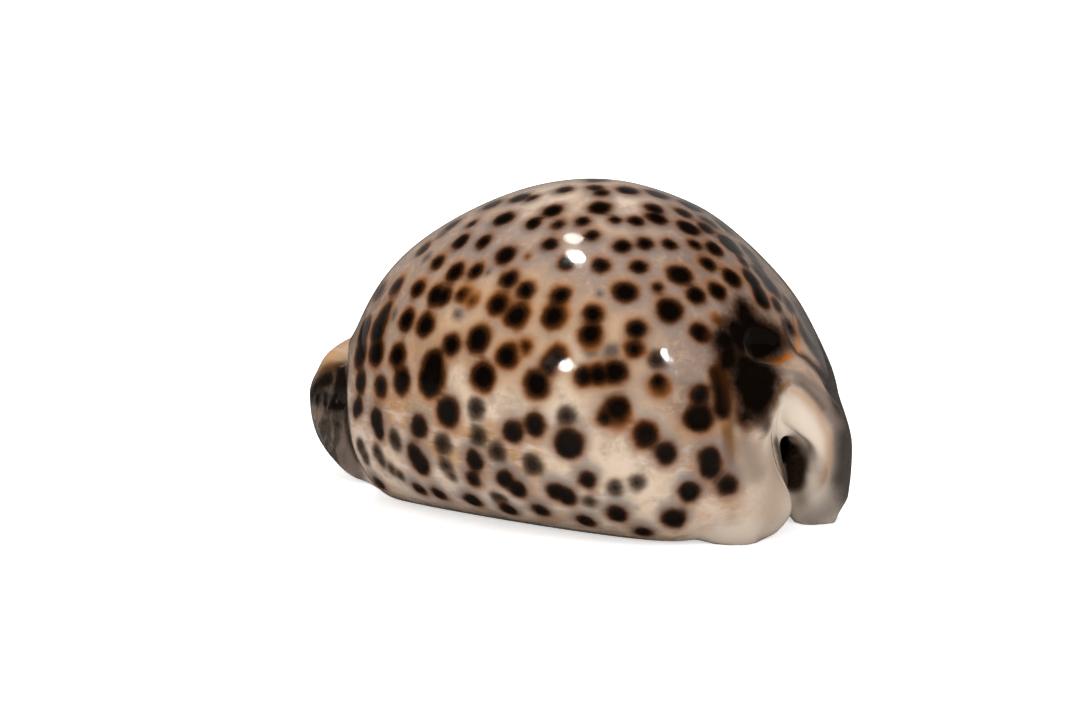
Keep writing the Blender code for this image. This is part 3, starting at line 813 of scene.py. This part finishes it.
class NodeBench:
    # short hands for building a material's nodes

    def __init__(self, tree):
        self.tree = tree
        self.place = 0

    def node(self, kind, **values):
        made = self.tree.nodes.new(kind)
        inRow, across, down = nodeSpacing
        made.location = ((self.place % inRow - inRow) * across, -(self.place // inRow) * down)
        self.place += 1
        for name, value in values.items():
            setattr(made, name, value)
        return made

    def link(self, source, target):
        if isinstance(source, bpy.types.NodeSocket):
            self.tree.links.new(source, target)
        else:
            target.default_value = source

    def math(self, operation, a, b=0.0, c=0.0):
        made = self.node("ShaderNodeMath", operation=operation)
        for socket, value in zip(made.inputs, (a, b, c)):
            self.link(value, socket)
        return made.outputs[0]

    def times(self, value, *others):
        for other in others:
            value = self.math("MULTIPLY", value, other)
        return value

    def less(self, value, share):
        # 1 where the value is 0, and lower by the share where it is 1
        return self.math("MULTIPLY_ADD", value, -share, 1.0)

    def sway(self, noise, amount, shift=0.0):
        # noise that swings evenly to both sides of the shift
        return self.math("MULTIPLY_ADD", noise, amount, shift - amount / 2)

    def read(self, name, colour=False):
        made = self.node("ShaderNodeAttribute", attribute_name=name)
        return made.outputs["Color" if colour else "Fac"]

    def noise(self, vector, scale, detail, roughness, distortion):
        made = self.node("ShaderNodeTexNoise")
        self.link(vector, made.inputs["Vector"])
        for name, value in (("Scale", scale), ("Detail", detail), ("Roughness", roughness),
                            ("Distortion", distortion)):
            made.inputs[name].default_value = value
        return made.outputs["Fac"]

    def step(self, value, low, high, to=(0.0, 1.0)):
        made = self.node("ShaderNodeMapRange", interpolation_type="SMOOTHSTEP")
        self.link(value, made.inputs["Value"])
        for name, number in (("From Min", low), ("From Max", high), ("To Min", to[0]), ("To Max", to[1])):
            made.inputs[name].default_value = number
        return made.outputs["Result"]

    def stretch(self, vector, scale):
        made = self.node("ShaderNodeMapping")
        made.inputs["Scale"].default_value = scale
        self.link(vector, made.inputs["Vector"])
        return made.outputs["Vector"]

    def mix(self, factor, a, b):
        made = self.node("ShaderNodeMix", data_type="RGBA")
        self.link(factor, made.inputs["Factor"])
        colours = [s for s in made.inputs if s.type == "RGBA"]
        for socket, value in zip(colours, (a, b)):
            self.link(value if isinstance(value, bpy.types.NodeSocket) else (*value, 1), socket)
        return [s for s in made.outputs if s.type == "RGBA"][0]


def enamelPatterns(bench):
    # patterns are sized in millimetres
    at = bench.stretch(bench.node("ShaderNodeTexCoord").outputs["Object"], (1 / mm,) * 3)
    patterns = {}
    for name, settings in enamelNoise.items():
        vector = bench.stretch(at, enamelStretch[name]) if name in enamelStretch else at
        patterns[name] = bench.noise(vector, *settings)
    return patterns


def coverOf(bench, layer, value):
    low, high, amount = groundCover[layer]
    return bench.times(bench.step(value, low, high), amount)


def enamelGround(bench, noise):
    # peach and tan clouds, then patches, a veil of lavender, warm grain and pale growth lines
    f = shellFinish
    ground = bench.mix(coverOf(bench, "clouds", noise["clouds"]), f["peach"], f["tan"])
    for name in ("lavender", "dusk", "warm", "amber", "pale", "cream"):
        edge = bench.math("ADD", bench.read(name), bench.sway(noise["mottle"], edgeSway["patches"]))
        ground = bench.mix(coverOf(bench, "patches", edge), ground, f[name])
    ground = bench.mix(coverOf(bench, "veil", noise["mottle"]), ground, f["lavender"])
    ground = bench.mix(coverOf(bench, "grain", noise["grain"]), ground, f["warm"])
    flush = bench.times(coverOf(bench, "flush", noise["flush"]), bench.less(bench.read("cream"), 0.8))
    ground = bench.mix(flush, ground, f["warm"])
    lined = bench.times(coverOf(bench, "growthLines", noise["growthLines"]), bench.read("low"))
    return bench.mix(lined, ground, f["line"])


def enamelBase(bench, noise, ground):
    # white enamel that starts under the margin, and the hollow inside, painted dark as its shade
    under = bench.math("ADD", bench.read("base"), bench.sway(noise["mottle"], edgeSway["base"]))
    ground = bench.mix(coverOf(bench, "base", under), ground, shellFinish["base"])
    return bench.mix(bench.read("inside"), ground, shellFinish["inside"])


def enamelEnds(bench, noise, ground):
    # painted strokes on both ends, streaky on the beak
    painted, beak = bench.read("paint", colour=True), bench.read("beak")
    pale = bench.mix(bench.times(beak, 0.4), painted, shellFinish["streak"])
    dark = bench.mix(bench.times(beak, 0.6), painted, shellFinish["core"])
    streaky = bench.mix(coverOf(bench, "streaks", noise["streaks"]), dark, pale)
    edge = bench.math("ADD", bench.read("paintCover"), bench.sway(noise["grain"], edgeSway["paint"]))
    return bench.mix(coverOf(bench, "paint", edge), ground, streaky)


def enamelMarks(bench, noise, colour):
    # haze on one side, rusty rim on the other, near-black core
    rusty, low = bench.read("rusty"), bench.read("low")
    shares = {
        "all": 1.0,
        "low": low,
        "rusty": rusty,
        "lessRusty": bench.less(rusty, 0.5),
        "moreRusty": bench.math("MULTIPLY_ADD", rusty, 0.45, 0.4),
        "plain": bench.times(bench.less(rusty, 0.7), bench.less(low, 0.5)),
    }
    shifts = {
        "none": 0.0,
        "wide": bench.times(rusty, -0.3),
        "fuzz": bench.sway(noise["grain"], edgeSway["fuzz"], -0.2),
    }
    wander = bench.math("ADD", bench.sway(noise["wobble"], edgeSway["marks"]),
                        bench.sway(noise["grain"], edgeSway["fine"]))
    for name, (full, end), strength, tint, share, shift in markTints:
        away = bench.math("ADD", bench.math("ADD", bench.read(name), wander), shifts[shift])
        cover = bench.times(bench.step(away, end, full), strength, shares[share])
        colour = bench.mix(cover, colour, shellFinish[tint])
    return colour, cover   # the last cover is the smudge's


def shellMaterial():
    f = shellFinish
    material = bpy.data.materials.new("glossyCowrieEnamel")
    material.use_nodes = True
    surface = material.node_tree.nodes["Principled BSDF"].inputs
    bench = NodeBench(material.node_tree)
    noise = enamelPatterns(bench)

    ground = enamelGround(bench, noise)
    ground = enamelEnds(bench, noise, enamelBase(bench, noise, ground))
    colour, smudge = enamelMarks(bench, noise, ground)
    bench.link(colour, surface["Base Color"])

    uneven = bench.math("ADD", bench.times(noise["grain"], 0.5), bench.times(noise["mottle"], 0.5))
    bench.link(bench.step(uneven, 0.3, 0.7, f["roughness"]), surface["Roughness"])
    dull = bench.math("MAXIMUM", bench.times(smudge, f["smudgeDullness"]), bench.read("sheltered"))
    bench.link(bench.math("MULTIPLY_ADD", dull, -f["coat"], f["coat"]), surface["Coat Weight"])
    surface["IOR"].default_value = f["ior"]
    surface["Specular IOR Level"].default_value = f["specular"]
    surface["Coat Roughness"].default_value = f["coatRoughness"]

    bump = bench.node("ShaderNodeBump")
    bump.inputs["Strength"].default_value = f["bumpStrength"]
    bump.inputs["Distance"].default_value = f["bumpDepth"] * mm
    relief = bench.math("ADD", noise["swell"], bench.times(noise["speckle"], f["speckleDepth"]))
    bench.link(relief, bump.inputs["Height"])
    bench.link(bump.outputs["Normal"], surface["Normal"])
    return material


def putInScene(name, data):
    made = bpy.data.objects.new(name, data)
    bpy.context.scene.collection.objects.link(made)
    return made


def buildShell():
    mesh, row, column = sphereMesh("cowrieShell", shellForm["columns"],
                                   shellForm["outsideRows"] + shellForm["insideRows"], shellPoints)
    markShell(mesh, row, column)
    zoneShell(mesh, row, column)
    mesh.materials.append(shellMaterial())
    shell = putInScene("cowrieShell", mesh)
    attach(shell, "root")
    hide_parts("shell")
    return shell


cowrieShell = buildShell()
print("shell built:", 2 * len(cowrieShell.data.polygons), "triangles at most")


studio = {
    "floorSize": 5.0,
    "floorColour": (0.93, 0.93, 0.93),
    "floorRoughness": 0.8,
    "mirrorColour": (0.035, 0.033, 0.031),    # how dark the floor looks in reflections
    "skyColour": (1.0, 1.0, 1.0),
    "skyStrength": 0.44,
    "wallBearing": 123,       # where the soft wall stands that only reflections show
    "wallColour": (0.44, 0.44, 0.44),
    "wallSides": (0.45, 0.97),    # its soft edges: cosine of the angle off, and height
    "wallTop": (0.75, 0.1),
    "glow": 0.6,              # the floor's own light, which only the camera sees
    "azimuth": 33.0,          # camera, degrees to the right of the columellar side
    "elevation": 11.0,
    "distance": 0.6,
    "lens": 130.0,
    "sensor": 36.0,           # both in mm
    "aim": (-0.00266, -0.0029, 0.0217),
}

# Bearing and height angle seen from the shell, distance and size in metres, power in watts, colour,
# and whether the shell mirrors it.
lamps = {
    "top": (-153, 73.8, 0.60, 0.070, 0.55, (1.0, 0.99, 0.97), True),
    "topSoft": (170, 70.6, 0.60, 0.075, 0.13, (1.0, 0.96, 0.92), True),
    "left": (-97, 18.8, 0.60, 0.070, 0.36, (1.0, 0.99, 0.97), True),
    "right": (-26, 32.7, 0.60, 0.052, 0.22, (1.0, 0.99, 0.97), True),
    "front": (-50, 33, 0.90, 0.70, 2.55, (1.0, 0.98, 0.955), False),
    "above": (120, 72, 0.90, 0.80, 4.3, (1.0, 0.985, 0.97), False),
    "leftFill": (-140, 5, 0.90, 0.60, 0.6, (1.0, 0.98, 0.96), False),
    "back": (123, 45, 0.90, 0.80, 3.4, (1.0, 0.98, 0.96), False),
}


def buildFloor():
    bm = bmesh.new()
    bmesh.ops.create_grid(bm, x_segments=1, y_segments=1, size=studio["floorSize"] / 2)
    mesh = bpy.data.meshes.new("floor")
    bm.to_mesh(mesh)
    bm.free()
    material = bpy.data.materials.new("paleFloor")
    material.use_nodes = True
    surface = material.node_tree.nodes["Principled BSDF"].inputs
    surface["Roughness"].default_value = studio["floorRoughness"]
    surface["Specular IOR Level"].default_value = 0
    bench = NodeBench(material.node_tree)
    rays = bench.node("ShaderNodeLightPath").outputs
    paper = bench.mix(rays["Is Glossy Ray"], studio["floorColour"], studio["mirrorColour"])
    bench.link(paper, surface["Base Color"])
    glow = bench.times(rays["Is Camera Ray"], studio["glow"])
    bench.link(glow, surface["Emission Strength"])
    surface["Emission Color"].default_value = (1, 1, 1, 1)
    mesh.materials.append(material)
    floor = putInScene("floor", mesh)


def buildLamps():
    centre = (Vector(cadBox[0]) + Vector(cadBox[1])) / 2
    for name, (bearing, height, distance, size, power, colour, mirrored) in lamps.items():
        light = bpy.data.lights.new(name, "AREA")
        light.shape = "DISK"
        light.size = size
        light.energy = power
        light.color = colour
        direction = Vector(compassRay(bearing, height))
        lamp = putInScene(name, light)
        lamp.location = centre + direction * distance
        lamp.rotation_euler = direction.to_track_quat("Z", "Y").to_euler()
        lamp.visible_glossy = mirrored
        lamp.visible_camera = False


def buildSky():
    world = bpy.data.worlds.new("softSky")
    world.use_nodes = True
    sky = world.node_tree.nodes["Background"]
    sky.inputs["Strength"].default_value = studio["skyStrength"]
    # mirrored in the shell, the studio is dark but for a soft wall behind it
    bench = NodeBench(world.node_tree)
    direction = bench.node("ShaderNodeTexCoord").outputs["Generated"]
    facing = bench.node("ShaderNodeVectorMath", operation="DOT_PRODUCT")
    bench.link(direction, facing.inputs[0])
    facing.inputs[1].default_value = compassRay(studio["wallBearing"], 0)
    height = bench.node("ShaderNodeSeparateXYZ")
    bench.link(direction, height.inputs[0])
    wall = bench.times(bench.step(facing.outputs["Value"], *studio["wallSides"]),
                       bench.step(height.outputs["Z"], *studio["wallTop"]))
    mirrored = bench.mix(wall, (0, 0, 0), studio["wallColour"])
    glossy = bench.node("ShaderNodeLightPath").outputs["Is Glossy Ray"]
    bench.link(bench.mix(glossy, studio["skyColour"], mirrored), sky.inputs["Color"])
    bpy.context.scene.world = world


def buildCamera():
    back = Vector(compassRay(studio["azimuth"] - 90, studio["elevation"]))
    data = bpy.data.cameras.new("camera")
    data.lens = studio["lens"]
    data.sensor_width = studio["sensor"]
    camera = putInScene("camera", data)
    camera.location = Vector(studio["aim"]) + back * studio["distance"]
    camera.rotation_euler = back.to_track_quat("Z", "Y").to_euler()
    bpy.context.scene.camera = camera


buildFloor()
buildLamps()
buildSky()
buildCamera()
bpy.context.scene.view_settings.view_transform = "Standard"
print("studio ready")
